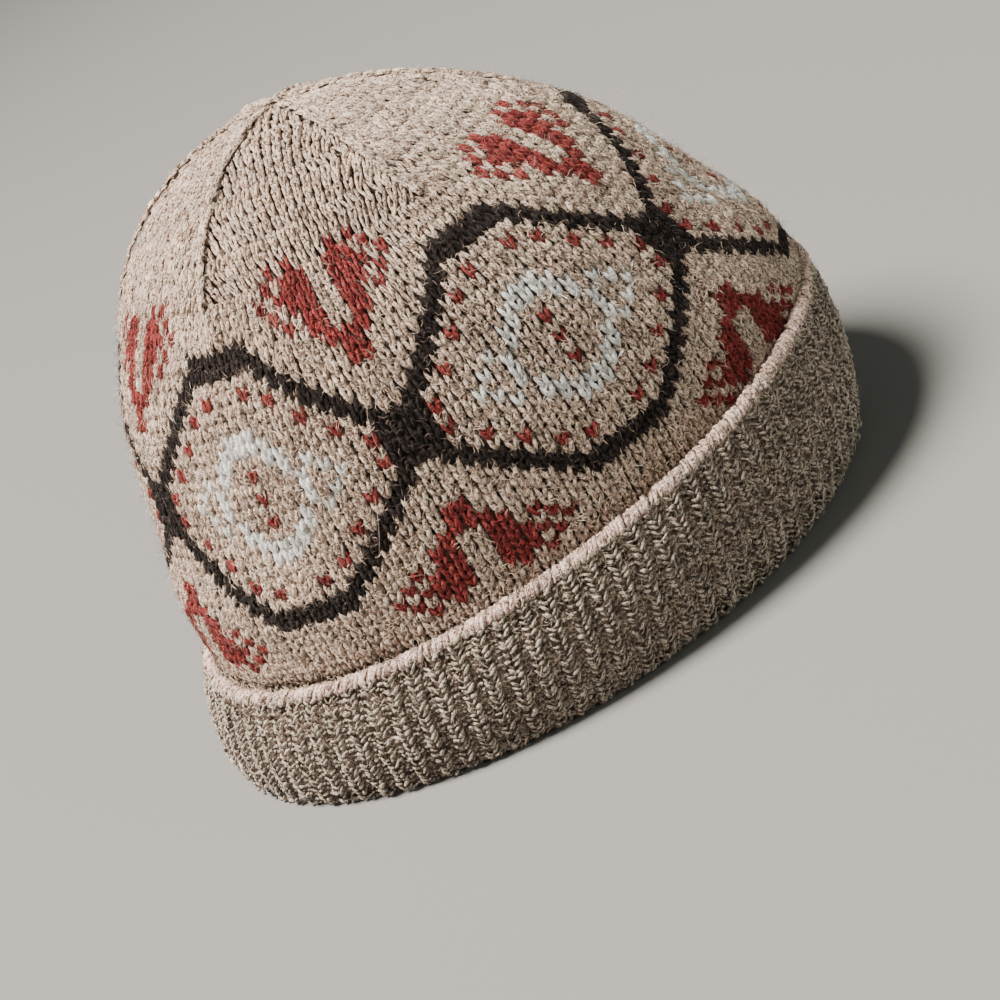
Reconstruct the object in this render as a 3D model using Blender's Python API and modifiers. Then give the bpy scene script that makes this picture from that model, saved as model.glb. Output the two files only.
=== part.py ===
# A knitted beanie with a turned-up ribbed cuff, in metres.
# +Z is up to the tip, +X is the wearer's front and +Y is the wearer's left.
# It stands on the fold of its cuff, which lies on Z = 0.
# A place round the hat is a share of the way round, from +X through +Y.

import math

import bmesh
import bpy
from mathutils import Vector

# Main sizes of the hat
HAT_HEIGHT = 0.1636
FOLD_LENGTH = 0.2110
FOLD_WIDTH = 0.1738
CUFF_TOP_LENGTH = 0.2086
CUFF_TOP_WIDTH = 0.1772
BODY_LENGTH = 0.1984
BODY_WIDTH = 0.1668
FORWARD_SHIFT = 0.0083  # how far the cuff leans to the front between its fold and its top edge
FOLD_SET_BACK = 0.0038  # the fold lies this far behind the Z axis, which centres the whole hat on it

BODY_SHIFT = FORWARD_SHIFT - FOLD_SET_BACK

# The knitting
KNIT_THICKNESS = 0.0035
RIB_THICKNESS = 0.0042
LAYER_GAP = 0.0008
PIECE_GAP = 0.0003

# The turned-up cuff
CUFF_HEIGHT = 0.0433
CUFF_RISE_TO_FRONT = 0.08  # height gained for each metre towards the front
CUFF_BULGE = 0.0037
INNER_LAYER_SHARE = 0.78  # height of the inner layer as a share of the outer one
RIB_COUNT = 90
RIB_DEPTH = 0.0011
FOLD_RADIUS = 0.0030
GROOVE_FLOOR = 0.0062
TURN = 2 * RIB_THICKNESS + LAYER_GAP

# The crown
LENGTHWISE_DOME = {"fullness": 2.16, "roundness": 1.96}
CROSSWISE_DOME = {"fullness": 2.70, "roundness": 2.15}
TIP_SET_BACK = 0.0128
GORE_COUNT = 6
FIRST_RIDGE = 0.138
GORE_FLATTENING = 0.035
RIDGE_HEIGHT = 0.0010
GORE_START = 0.62
GORE_FULL = 0.82
CROWN_SEGMENTS = 96

# Rows of the crown, as shares of the height from its lower edge to the tip
CROWN_ROWS = (0.0, 0.10, 0.21, 0.32, 0.43, 0.54, 0.64, 0.73, 0.81, 0.88, 0.935, 0.972, 0.993)

# Soft dents in the body, each placed and sized as shares of the way round and of the height
DENTS = (
    {"around": 0.585, "up": 0.42, "wide": 0.050, "tall": 0.22, "deep": 0.0022},
    {"around": 0.905, "up": 0.50, "wide": 0.060, "tall": 0.20, "deep": 0.0016},
    {"around": 0.230, "up": 0.46, "wide": 0.070, "tall": 0.24, "deep": 0.0020},
)

# The cuff's closed section, from the top of the outer face, down under the fold and up the inside.
# up is a share of its layer's height, inset is measured in from its layer's outer face,
# lift is added to the height, and rib is the share of the ribs' relief.
CUFF_SECTION = (
    {"layer": "outer", "up": 1.00, "inset": 0.0007, "lift": -0.0014, "rib": 0.3},
    {"layer": "outer", "up": 0.86, "inset": 0.0, "lift": 0.0, "rib": 1.0},
    {"layer": "outer", "up": 0.56, "inset": 0.0, "lift": 0.0, "rib": 1.0},
    {"layer": "outer", "up": 0.28, "inset": 0.0, "lift": 0.0, "rib": 1.0},
    {"layer": "outer", "up": 0.00, "inset": 0.0003, "lift": 0.0048, "rib": 1.0},
    {"layer": "outer", "up": 0.00, "inset": 0.0014, "lift": 0.0014, "rib": 0.5},
    {"layer": "outer", "up": 0.00, "inset": FOLD_RADIUS, "lift": 0.0, "rib": 0.0},
    {"layer": "outer", "up": 0.00, "inset": TURN - FOLD_RADIUS, "lift": 0.0, "rib": 0.0},
    {"layer": "outer", "up": 0.00, "inset": TURN, "lift": 0.0040, "rib": 0.0},
    {"layer": "inner", "up": 1.00, "inset": RIB_THICKNESS, "lift": 0.0, "rib": 0.0},
    {"layer": "inner", "up": 1.00, "inset": 0.0, "lift": 0.0, "rib": 0.0},
    {"layer": "outer", "up": 0.00, "inset": TURN - RIB_THICKNESS, "lift": 0.0080, "rib": 0.0},
    {"layer": "outer", "up": 0.00, "inset": TURN / 2, "lift": GROOVE_FLOOR, "rib": 0.0},
    {"layer": "outer", "up": 0.00, "inset": RIB_THICKNESS, "lift": 0.0080, "rib": 0.0},
    {"layer": "outer", "up": 0.50, "inset": RIB_THICKNESS, "lift": 0.0, "rib": 0.0},
    {"layer": "outer", "up": 1.00, "inset": RIB_THICKNESS - 0.0005, "lift": -0.0012, "rib": 0.0},
    {"layer": "outer", "up": 1.00, "inset": RIB_THICKNESS / 2, "lift": 0.0, "rib": 0.0},
)

CROWN_COLOUR = (0.42, 0.35, 0.30, 1.0)
CUFF_COLOUR = (0.31, 0.27, 0.23, 1.0)
WOOL_ROUGHNESS = 0.95


def startFresh():
    """Remove whatever the scene holds and make the hat's collection."""
    for item in list(bpy.data.objects):
        bpy.data.objects.remove(item, do_unlink=True)
    collection = bpy.data.collections.new("knitted_beanie")
    bpy.context.scene.collection.children.link(collection)
    return collection


def mix(low, high, share):
    """The value a share of the way from low to high."""
    return low + (high - low) * share


def smoothStep(low, high, value):
    """Rise smoothly from 0 at low to 1 at high."""
    share = min(max((value - low) / (high - low), 0.0), 1.0)
    return share * share * (3 - 2 * share)


def arcTable(halfLength, halfWidth, steps=720):
    """How much of an oval's edge lies before each of its angles, as shares of the way round."""
    lengths = [0.0]
    for step in range(steps):
        angle = 2 * math.pi * (step + 0.5) / steps
        piece = math.hypot(halfLength * math.sin(angle), halfWidth * math.cos(angle))
        lengths.append(lengths[-1] + piece)
    return [length / lengths[-1] for length in lengths]


ARC_SHARES = arcTable(BODY_LENGTH / 2, BODY_WIDTH / 2)


def angleAt(around):
    """The oval's angle at a share of the way round, so that equal shares are equal lengths of knitting."""
    around = around % 1.0
    low = 0
    high = len(ARC_SHARES) - 1
    while high - low > 1:
        middle = (low + high) // 2
        if ARC_SHARES[middle] <= around:
            low = middle
        else:
            high = middle
    part = (around - ARC_SHARES[low]) / (ARC_SHARES[high] - ARC_SHARES[low])
    return 2 * math.pi * (low + part) / (len(ARC_SHARES) - 1)


def cuffTop(angle):
    """Height of the cuff's top edge, which rises towards the front."""
    return CUFF_HEIGHT + CUFF_RISE_TO_FRONT * CUFF_TOP_LENGTH / 2 * math.cos(angle)


def outerLayerPoint(angle, up, inset, lift):
    """A point in from the outer face of the turned-up layer."""
    bulge = CUFF_BULGE * 4 * up * (1 - up)
    halfLength = mix(FOLD_LENGTH, CUFF_TOP_LENGTH, up) / 2 + bulge - inset
    halfWidth = mix(FOLD_WIDTH, CUFF_TOP_WIDTH, up) / 2 + bulge - inset
    x = FORWARD_SHIFT * up - FOLD_SET_BACK + halfLength * math.cos(angle)
    return Vector((x, halfWidth * math.sin(angle), up * cuffTop(angle) + lift))


def innerLayerPoint(angle, up, inset, lift):
    """A point in from the outer face of the layer next to the head, which the crown carries on."""
    halfLength = mix(FOLD_LENGTH / 2 - TURN + RIB_THICKNESS, BODY_LENGTH / 2, up) - inset
    halfWidth = mix(FOLD_WIDTH / 2 - TURN + RIB_THICKNESS, BODY_WIDTH / 2, up) - inset
    x = FORWARD_SHIFT * up - FOLD_SET_BACK + halfLength * math.cos(angle)
    height = up * INNER_LAYER_SHARE * cuffTop(angle) + lift
    return Vector((x, halfWidth * math.sin(angle), height))


def cuffPoint(station, row):
    """A point of the cuff's section. Even stations are the ribs and odd ones the furrows."""
    angle = angleAt(station / (2 * RIB_COUNT))
    place = CUFF_SECTION[row]
    relief = RIB_DEPTH * place["rib"] * (station % 2)
    layerPoint = outerLayerPoint if place["layer"] == "outer" else innerLayerPoint
    return layerPoint(angle, place["up"], place["inset"] + relief, place["lift"])


def domeShare(dome, up):
    """The dome's breadth at a share of its height, as a share of its full breadth."""
    return (1 - up ** dome["fullness"]) ** (1 / dome["roundness"])


def goreShape(around, up):
    """How the gores flatten the dome between their decrease ridges: a scale and a ridge height."""
    gore = ((around - FIRST_RIDGE) * GORE_COUNT) % 1.0
    fromMiddle = abs(2 * gore - 1)
    strength = smoothStep(GORE_START, GORE_FULL, up)
    scale = 1 - GORE_FLATTENING * strength * (1 - fromMiddle**2)
    ridge = RIDGE_HEIGHT * strength * smoothStep(0.85, 1.0, fromMiddle)
    return scale, ridge


def dentDepth(around, up):
    """How far the soft dents press the body in here."""
    depth = 0.0
    for dent in DENTS:
        apart = (around - dent["around"] + 0.5) % 1.0 - 0.5
        reach = (apart / dent["wide"]) ** 2 + ((up - dent["up"]) / dent["tall"]) ** 2
        depth += dent["deep"] * math.exp(-reach)
    return depth


def crownPoint(station, row):
    """A point of the crown's outer face."""
    around = FIRST_RIDGE + station / CROWN_SEGMENTS
    angle = angleAt(around)
    up = CROWN_ROWS[row]
    scale, ridge = goreShape(around, up)
    grow = ridge - dentDepth(around % 1.0, up)
    halfLength = BODY_LENGTH / 2 * domeShare(LENGTHWISE_DOME, up) * scale + grow
    halfWidth = BODY_WIDTH / 2 * domeShare(CROSSWISE_DOME, up) * scale + grow
    base = INNER_LAYER_SHARE * cuffTop(angle) + PIECE_GAP
    x = BODY_SHIFT - TIP_SET_BACK * up**1.5 + halfLength * math.cos(angle)
    return Vector((x, halfWidth * math.sin(angle), mix(base, HAT_HEIGHT, up)))


def growRows(shape, segments, rowCount, pointAt):
    """Start from a circle, then extrude its edge row by row and move each new row to its place."""
    numbers = shape.verts.layers.int.new("station")
    started = bmesh.ops.create_circle(shape, segments=segments, radius=1)
    for station, vertex in enumerate(started["verts"]):
        vertex[numbers] = station
        vertex.co = pointAt(station, 0)
    firstEdges = list(shape.edges)
    lastEdges = firstEdges
    for row in range(1, rowCount):
        grown = bmesh.ops.extrude_edge_only(shape, edges=lastEdges)["geom"]
        for vertex in grown:
            if isinstance(vertex, bmesh.types.BMVert):
                vertex.co = pointAt(vertex[numbers], row)
        lastEdges = [
            edge
            for edge in grown
            if isinstance(edge, bmesh.types.BMEdge) and edge.is_boundary
        ]
    return firstEdges, lastEdges


def finishPiece(shape, name, colour, collection):
    """Face the shape outwards, shade it smooth and put it in the collection with its material."""
    bmesh.ops.recalc_face_normals(shape, faces=shape.faces)
    mesh = bpy.data.meshes.new(name)
    shape.to_mesh(mesh)
    shape.free()
    mesh.shade_smooth()
    material = bpy.data.materials.new(name + "_wool")
    material.use_nodes = True
    shader = material.node_tree.nodes["Principled BSDF"]
    shader.inputs["Base Color"].default_value = colour
    shader.inputs["Roughness"].default_value = WOOL_ROUGHNESS
    shader.inputs["Metallic"].default_value = 0.0
    mesh.materials.append(material)
    piece = bpy.data.objects.new(name, mesh)
    collection.objects.link(piece)
    return piece


def makeCuff(collection):
    """The ribbed band, turned up on itself, as one closed ring."""
    shape = bmesh.new()
    segments = 2 * RIB_COUNT
    firstEdges, lastEdges = growRows(shape, segments, len(CUFF_SECTION), cuffPoint)
    bmesh.ops.bridge_loops(shape, edges=firstEdges + lastEdges)
    return finishPiece(shape, "cuff", CUFF_COLOUR, collection)


def makeCrown(collection):
    """The domed body, an open shell that is drawn together at the tip and then given its wall."""
    shape = bmesh.new()
    _, lastEdges = growRows(shape, CROWN_SEGMENTS, len(CROWN_ROWS), crownPoint)
    grown = bmesh.ops.extrude_edge_only(shape, edges=lastEdges)["geom"]
    tipVertices = [item for item in grown if isinstance(item, bmesh.types.BMVert)]
    tip = Vector((BODY_SHIFT - TIP_SET_BACK, 0.0, HAT_HEIGHT))
    bmesh.ops.pointmerge(shape, verts=tipVertices, merge_co=tip)
    crown = finishPiece(shape, "crown", CROWN_COLOUR, collection)
    wall = crown.modifiers.new("knit_wall", "SOLIDIFY")
    wall.thickness = KNIT_THICKNESS
    wall.offset = -1.0
    return crown


def makeBeanie():
    """Build the hat's two pieces."""
    collection = startFresh()
    makeCuff(collection)
    makeCrown(collection)


makeBeanie()
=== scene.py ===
import math

import bpy
import numpy as np
from mathutils import Matrix, Vector


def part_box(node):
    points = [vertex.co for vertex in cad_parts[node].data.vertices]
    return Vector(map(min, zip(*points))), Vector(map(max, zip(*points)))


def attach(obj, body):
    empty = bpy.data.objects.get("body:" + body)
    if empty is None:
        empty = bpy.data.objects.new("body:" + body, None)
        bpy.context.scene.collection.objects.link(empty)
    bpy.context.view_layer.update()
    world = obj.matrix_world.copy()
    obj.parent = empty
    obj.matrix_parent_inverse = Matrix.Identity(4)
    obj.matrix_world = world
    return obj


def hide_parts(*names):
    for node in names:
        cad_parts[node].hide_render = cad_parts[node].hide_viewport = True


# A knitted winter hat: stranded colourwork on the body, a ribbed cuff turned up round it.
# Every stitch of the body is a pair of modelled yarn legs. Lengths are in metres.
# Places round the hat are shares of a turn, from +X through +Y.

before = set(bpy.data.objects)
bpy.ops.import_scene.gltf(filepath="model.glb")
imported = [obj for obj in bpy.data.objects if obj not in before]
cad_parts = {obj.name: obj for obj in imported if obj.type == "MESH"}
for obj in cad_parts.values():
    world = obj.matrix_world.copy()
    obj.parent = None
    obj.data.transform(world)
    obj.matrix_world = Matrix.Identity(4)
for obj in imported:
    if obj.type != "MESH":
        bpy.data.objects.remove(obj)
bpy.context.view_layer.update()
crownLow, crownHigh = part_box("crown")

mm = 0.001
floorGap = 0.0001
hat = {
    "height": crownHigh[2],
    "bodyLength": crownHigh[0] - crownLow[0],
    "bodyWidth": 2 * crownHigh[1],
    "bodyShift": (crownHigh[0] + crownLow[0]) / 2,
    "foldLength": 0.2110,  # the cuff at its fold
    "foldWidth": 0.1738,
    "cuffTopLength": 0.2086,  # and at its top edge
    "cuffTopWidth": 0.1772,
    "cuffHeight": 0.0433,
    "cuffRiseToFront": 0.08,
    "cuffBulge": 0.0037,
    "cuffShiftForward": 0.0083,
    "foldSetBack": 0.0038,
    "turn": 0.0092,  # two layers of rib and the gap between them
    "ribWall": 0.0042,
    "bodyWall": 0.0035,
    "innerShare": 0.78,  # how far up the inner layer of the cuff goes
    "edgeGap": 0.0003,  # from there up to the body's lower edge
    "foldRadius": 0.0034,
    "tipSetBack": 0.0128,
    "tipFade": 0.03,  # share of the height in which ridges and dents die out at the tip
    "gores": 6,
    "goresFrom": (0.62, 0.82),  # shares of the height between which the gores start to flatten
    "firstRidge": 0.138,
    "goreFlattening": 0.035,
    "ridgeHeight": 0.0010,
    "ridgeFrom": 0.85,  # share of the way from a gore's middle at which its ridge starts
}
dome = {"lengthwise": (2.16, 1.96), "crosswise": (2.70, 2.15)}
dents = [
    {"around": 0.585, "up": 0.42, "wide": 0.050, "tall": 0.22, "deep": 0.0022},
    {"around": 0.905, "up": 0.50, "wide": 0.060, "tall": 0.20, "deep": 0.0016},
    {"around": 0.230, "up": 0.46, "wide": 0.070, "tall": 0.24, "deep": 0.0020},
]


def mix(low, high, share):
    return low + (high - low) * share


def smoothStep(low, high, value):
    # low may be above high: the step then falls
    share = np.clip((value - low) / (high - low), 0, 1)
    return share * share * (3 - 2 * share)


def unit(vectors):
    return vectors / np.maximum(np.linalg.norm(vectors, axis=-1, keepdims=True), 1e-12)


def apart(around, place):
    # the shorter way round the hat from a place, as a share of a turn with its sign
    return (around - place + 0.5) % 1 - 0.5


def wander(around, along, seed, size=1.0):
    # a slow unevenness over the knitting, about -1 to 1
    dice = np.random.default_rng(seed)
    total = 0
    for waves in range(1, 6):
        starts = dice.uniform(0, 2 * math.pi, 3)
        wave = np.sin(2 * math.pi * around * waves * round(2 * size) + starts[0]
                      + along * waves * 31 * size + starts[1])
        total = total + wave * math.cos(starts[2]) / waves ** 0.5
    return total / 2


# the surfaces that the knitting follows

ovalSteps = np.linspace(0, 2 * math.pi, 2881)
ovalRun = np.hypot(np.diff(hat["bodyLength"] / 2 * np.cos(ovalSteps)),
                   np.diff(hat["bodyWidth"] / 2 * np.sin(ovalSteps)))
ovalRun = np.concatenate([[0], np.cumsum(ovalRun)])
ovalRun = ovalRun / ovalRun[-1]


def angleAt(around):
    turns = np.floor(around)
    return np.interp(around - turns, ovalRun, ovalSteps) + 2 * math.pi * turns


def cuffTop(angle):
    return hat["cuffHeight"] + hat["cuffRiseToFront"] * hat["cuffTopLength"] / 2 * np.cos(angle)


def innerTop(angle):
    # height of the inner layer of the cuff
    return hat["innerShare"] * cuffTop(angle)


def lowerEdge(angle):
    # height of the body's lower edge, just above that inner layer
    return innerTop(angle) + hat["edgeGap"]


def domeShare(up, fullness, roundness):
    return (1 - np.clip(up, 0, 1) ** fullness) ** (1 / roundness)


def ovalOver(up):
    # half length, half width and middle of the dome at a share of its height
    halfLength = hat["bodyLength"] / 2 * domeShare(up, *dome["lengthwise"])
    halfWidth = hat["bodyWidth"] / 2 * domeShare(up, *dome["crosswise"])
    return halfLength, halfWidth, hat["bodyShift"] - hat["tipSetBack"] * up ** 1.5


def ovalPoint(middle, halfLength, halfWidth, angle, z):
    return np.stack([middle + halfLength * np.cos(angle), halfWidth * np.sin(angle), z], axis=-1)


def ovalOutward(angle):
    return unit(np.stack([np.cos(angle) / hat["bodyLength"], np.sin(angle) / hat["bodyWidth"],
                          np.zeros_like(angle)], axis=-1))


def bodyPlace(around, z, goreShare=None):
    # the outer face of the crown at a height above the floor
    angle = angleAt(around)
    goreShare = around if goreShare is None else goreShare
    base = lowerEdge(angle)
    up = np.clip((z - base) / (hat["height"] - base), 0, 1)
    fromMiddle = np.abs(2 * (((goreShare - hat["firstRidge"]) * hat["gores"]) % 1) - 1)
    strength = smoothStep(*hat["goresFrom"], up)
    scale = 1 - hat["goreFlattening"] * strength * (1 - fromMiddle ** 2)
    grow = hat["ridgeHeight"] * strength * smoothStep(hat["ridgeFrom"], 1, fromMiddle)
    for dent in dents:
        aside = apart(around, dent["around"]) / dent["wide"]
        above = (up - dent["up"]) / dent["tall"]
        grow = grow - dent["deep"] * np.exp(-aside ** 2 - above ** 2)
    grow = grow * np.minimum(1, (1 - up) / hat["tipFade"])
    halfLength, halfWidth, middle = ovalOver(up)
    return ovalPoint(middle, halfLength * scale + grow, halfWidth * scale + grow, angle,
                     mix(base, hat["height"], up))


# rows of the body are level, so one meridian with the mean lower edge gives each row its height
meridianBase = 0.034
meridianUp = 1 - (1 - np.linspace(0, 1, 1500)) ** 2
meridianHalf = sum(ovalOver(meridianUp)[:2]) / 2
meridianZ = mix(meridianBase, hat["height"], meridianUp)
meridianRun = np.concatenate([[0], np.cumsum(np.hypot(np.diff(meridianZ), np.diff(meridianHalf)))])


def heightAt(run):
    # height of a point that lies this far up the meridian from the lower edge
    return np.interp(run, meridianRun, meridianZ) + np.minimum(run, 0)


overhangs = [  # the slack body fills out over the cuff here; fade is run up the meridian
    {"around": 0.545, "wide": 0.095, "by": 0.0046, "fade": (0.048, 0.019)},
    {"around": 0.985, "wide": 0.095, "by": 0.0052, "fade": (0.062, 0.026)},
]
sagRise = 0.009  # the lower edge itself stays on the cuff, the sag starts above it
gather = {
    "forward": 0.0105,  # the stitches meet in front of the dome's highest place
    "aside": 0.0025,
    "from": 0.100,  # run at which the lean starts
    "past": 0.02,  # run past the tip at which it would be whole
}


def crownFace(around, run):
    # near the top the rows draw in to a point that isn't the dome's middle
    z = heightAt(run)
    lean = smoothStep(gather["from"], meridianRun[-1] + gather["past"], run)
    angle = angleAt(around)
    sag = 0
    for part in overhangs:
        aside = apart(around, part["around"]) / part["wide"]
        sag = sag + part["by"] * np.exp(-aside ** 2) * smoothStep(*part["fade"], run)
    sag = sag * smoothStep(0, sagRise, z - lowerEdge(angle))
    plain = bodyPlace(around, z) + ovalOutward(angle) * sag[..., None]
    up = np.clip((z - meridianBase) / (hat["height"] - meridianBase), 0, 1)
    halfLength, halfWidth, middle = ovalOver(up)
    x = middle + halfLength * np.cos(angle) + gather["forward"] * lean
    y = halfWidth * np.sin(angle) + gather["aside"] * lean
    low, high = np.zeros_like(x), np.full_like(x, 0.99999)
    for _ in range(24):  # halves its way to the height at which the dome passes through that place
        up = (low + high) / 2
        halfLength, halfWidth, middle = ovalOver(up)
        inside = ((x - middle) / halfLength) ** 2 + (y / halfWidth) ** 2 < 1
        low, high = np.where(inside, up, low), np.where(inside, high, up)
    turned = np.arctan2(y / halfWidth, (x - middle) / halfLength) / (2 * math.pi) % 1
    share = np.interp(turned * 2 * math.pi, ovalSteps, ovalRun)
    leaned = bodyPlace(share, mix(meridianBase, hat["height"], up), around)
    return np.where((lean > 0)[..., None], leaned, plain)


foldRun = math.pi * (hat["turn"] / 2 + hat["foldRadius"]) / 2  # run of the outer face round the fold


def cuffFace(around, down):
    # the outer face of the cuff, from its top edge down, round the fold and up inside
    angle = angleAt(around)
    top = cuffTop(angle)
    straight = top - hat["foldRadius"]
    bend = np.clip((down - straight) / foldRun, 0, 1) * math.pi
    past = np.maximum(down - straight - foldRun, 0)
    z = np.where(down < straight, top - down, hat["foldRadius"] * (1 - np.sin(bend))) + past
    inset = hat["turn"] / 2 * (1 - np.cos(bend))
    up = z / top
    bulge = hat["cuffBulge"] * 4 * up * (1 - up)
    halfLength = mix(hat["foldLength"], hat["cuffTopLength"], up) / 2 + bulge - inset
    halfWidth = mix(hat["foldWidth"], hat["cuffTopWidth"], up) / 2 + bulge - inset
    return ovalPoint(hat["cuffShiftForward"] * up - hat["foldSetBack"], halfLength, halfWidth, angle, z)


def fullness(around):
    # the cuff stands out a little more behind the left side
    aside = apart(around, cuff["fullPlace"]) / cuff["fullSpread"]
    return cuff["puff"] + cuff["fullBy"] * np.exp(-aside ** 2)


frameStep = {"around": 0.0004, "run": 0.0003, "rows": 0.08}


def frameAt(face, around, run):
    # point, direction round the hat, direction of the wale and the normal of both
    step = frameStep["rows"] if face is knitFace else frameStep["run"]
    point = face(around, run)
    across = unit(face(around + frameStep["around"], run) - face(around - frameStep["around"], run))
    wale = unit(face(around, run + step) - face(around, run - step))
    return point, across, wale, unit(np.cross(across, wale))


# meshes

def addObject(name, data):
    thing = bpy.data.objects.new(name, data)
    bpy.context.collection.objects.link(thing)
    return thing


def makePiece(name, points, faces, material, attributes, yarnPlaces=None):
    mesh = bpy.data.meshes.new(name)
    points = np.array(points, np.float64)
    points[:, 2] = np.maximum(points[:, 2], floorGap)  # what rests on the floor is pressed flat
    corners = np.concatenate([group.reshape(-1) for group in faces])
    counts = np.concatenate([np.full(len(group), group.shape[1]) for group in faces])
    starts = np.concatenate([[0], np.cumsum(counts)[:-1]])
    mesh.vertices.add(len(points))
    mesh.vertices.foreach_set("co", points.astype(np.float32).reshape(-1))
    mesh.loops.add(len(corners))
    mesh.loops.foreach_set("vertex_index", corners.astype(np.int32))
    mesh.polygons.add(len(counts))
    mesh.polygons.foreach_set("loop_start", starts.astype(np.int32))
    mesh.update(calc_edges=True)
    mesh.validate()
    for title, values in attributes.items():
        kind, field = ("FLOAT_COLOR", "color") if values.ndim == 2 else ("FLOAT", "value")
        layer = mesh.attributes.new(title, kind, "POINT")
        layer.data.foreach_set(field, values.astype(np.float32).reshape(-1))
    if yarnPlaces is not None:
        layer = mesh.attributes.new("yarnPlace", "FLOAT_VECTOR", "CORNER")
        layer.data.foreach_set("vector", yarnPlaces.astype(np.float32).reshape(-1))
    mesh.polygons.foreach_set("use_smooth", np.full(len(mesh.polygons), True))
    mesh.materials.append(material)
    piece = addObject(name, mesh)
    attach(piece, "root")
    print("made", name, len(mesh.vertices), "points", int((counts - 2).sum()), "triangles")
    return piece


openArc = (-24, 204)  # degrees of a yarn's girth that are made where its back lies on the wall


def strandRings(path, normals, halfWide, halfDeep, sides, openBack=False):
    # rings of points round many short yarns at once: path is (yarn, station, xyz)
    tangent = unit(np.gradient(path, axis=1))
    side = unit(np.cross(normals, tangent))
    out = np.cross(tangent, side)
    if openBack:
        turn = np.radians(np.linspace(*openArc, sides))
    else:
        turn = np.arange(sides) / sides * 2 * math.pi - math.pi / 2
    ring = (side[:, :, None, :] * (np.cos(turn)[None, None, :, None] * halfWide[:, :, None, None])
            + out[:, :, None, :] * (np.sin(turn)[None, None, :, None] * halfDeep[:, :, None, None]))
    return path[:, :, None, :] + ring


def strandCells(stations, sides, openBack):
    # station and corner at which each face of one yarn starts
    station, corner = np.meshgrid(np.arange(stations - 1), np.arange(sides - openBack), indexing="ij")
    return station.reshape(-1, 1), corner.reshape(-1, 1)


def strandFaces(count, stations, sides, openBack=False):
    station, corner = strandCells(stations, sides, openBack)
    after = (corner + 1) % sides
    quad = np.concatenate([station * sides + corner, station * sides + after,
                           (station + 1) * sides + after, (station + 1) * sides + corner], axis=1)
    return (quad[None] + (np.arange(count) * stations * sides)[:, None, None]).reshape(-1, 4)


def strandPlaces(count, stations, sides, seeds, openBack=False):
    # for each face corner: share round the yarn, share along it, and the yarn's own number
    station, corner = strandCells(stations, sides, openBack)
    roundShare = (corner + np.array([[0, 1, 1, 0]])) / sides
    along = (station + np.array([[0, 0, 1, 1]])) / (stations - 1)
    one = np.stack([roundShare, along], axis=-1).reshape(-1, 2)
    places = np.empty((count, len(one), 3))
    places[:, :, :2] = one[None]
    places[:, :, 2] = seeds[:, None]
    return places.reshape(-1, 3)


def yarnPiece(name, yarns, material, sides=5, openBack=False):
    # joins groups of yarns, each a dictionary of path, normals, wide, deep and tint
    dice = np.random.default_rng(len(name) + 41)
    points, faces, tints, places, start = [], [], [], [], 0
    for group in yarns:
        rings = strandRings(group["path"], group["normals"], group["wide"], group["deep"], sides, openBack)
        count, stations = rings.shape[:2]
        points.append(rings.reshape(-1, 3))
        faces.append(strandFaces(count, stations, sides, openBack) + start)
        tints.append(np.repeat(group["tint"], stations * sides))
        places.append(strandPlaces(count, stations, sides, dice.uniform(0, 50, count), openBack))
        start += count * stations * sides
    return makePiece(name, np.concatenate(points), faces, material,
                     {"stitchTint": np.concatenate(tints)}, np.concatenate(places))


def laidPath(point, across, wale, normal, outward, upward, inward):
    # stations beside each point, at distances along that point's own directions
    return (point[:, None] + across[:, None] * outward[..., None] + wale[:, None] * upward[..., None]
            - normal[:, None] * inward[..., None])


# materials

def newGroup(name, inputs, outputs):
    tree = bpy.data.node_groups.new(name, "ShaderNodeTree")
    for title, kind in inputs.items():
        tree.interface.new_socket(title, in_out="INPUT", socket_type=kind)
    for title, kind in outputs.items():
        tree.interface.new_socket(title, in_out="OUTPUT", socket_type=kind)
    return tree, tree.nodes.new("NodeGroupInput").outputs, tree.nodes.new("NodeGroupOutput").inputs


def addNode(tree, kind, inputs=None, **settings):
    node = tree.nodes.new("ShaderNode" + kind)
    for title, value in settings.items():
        setattr(node, title, value)
    for title, value in (inputs or {}).items():
        if isinstance(value, bpy.types.NodeSocket):
            tree.links.new(value, node.inputs[title])
        else:
            node.inputs[title].default_value = value
    return node


def mathNode(tree, operation, *values):
    return addNode(tree, "Math", dict(enumerate(values)), operation=operation).outputs[0]


def mixColour(tree, share, first, second, blend="MIX"):
    # for colours a Mix node uses sockets 0, 6 and 7, and 2 for its result
    node = addNode(tree, "Mix", {0: share, 6: first, 7: second}, data_type="RGBA", blend_type=blend)
    return node.outputs[2]


def ramp(tree, value, low, high):
    return addNode(tree, "MapRange", {"Value": value, "From Min": low, "From Max": high},
                   interpolation_type="SMOOTHSTEP").outputs["Result"]


def noise(tree, place, scale, detail=2.0, roughness=0.5, distortion=0.0):
    return addNode(tree, "TexNoise", {"Vector": place, "Scale": scale, "Detail": detail,
                                      "Roughness": roughness, "Distortion": distortion}).outputs["Fac"]


def curls(tree, place, scale, offset):
    # thin wandering lines, like single fibres across the yarn
    moved = addNode(tree, "VectorMath", {0: place, 1: (offset, offset / 2, offset / 3)}, operation="ADD")
    field = noise(tree, moved.outputs["Vector"], scale, 1.0, 0.5, 1.3)
    away = mathNode(tree, "ABSOLUTE", mathNode(tree, "SUBTRACT", field, 0.5))
    return ramp(tree, away, 0.060, 0.028)


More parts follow.
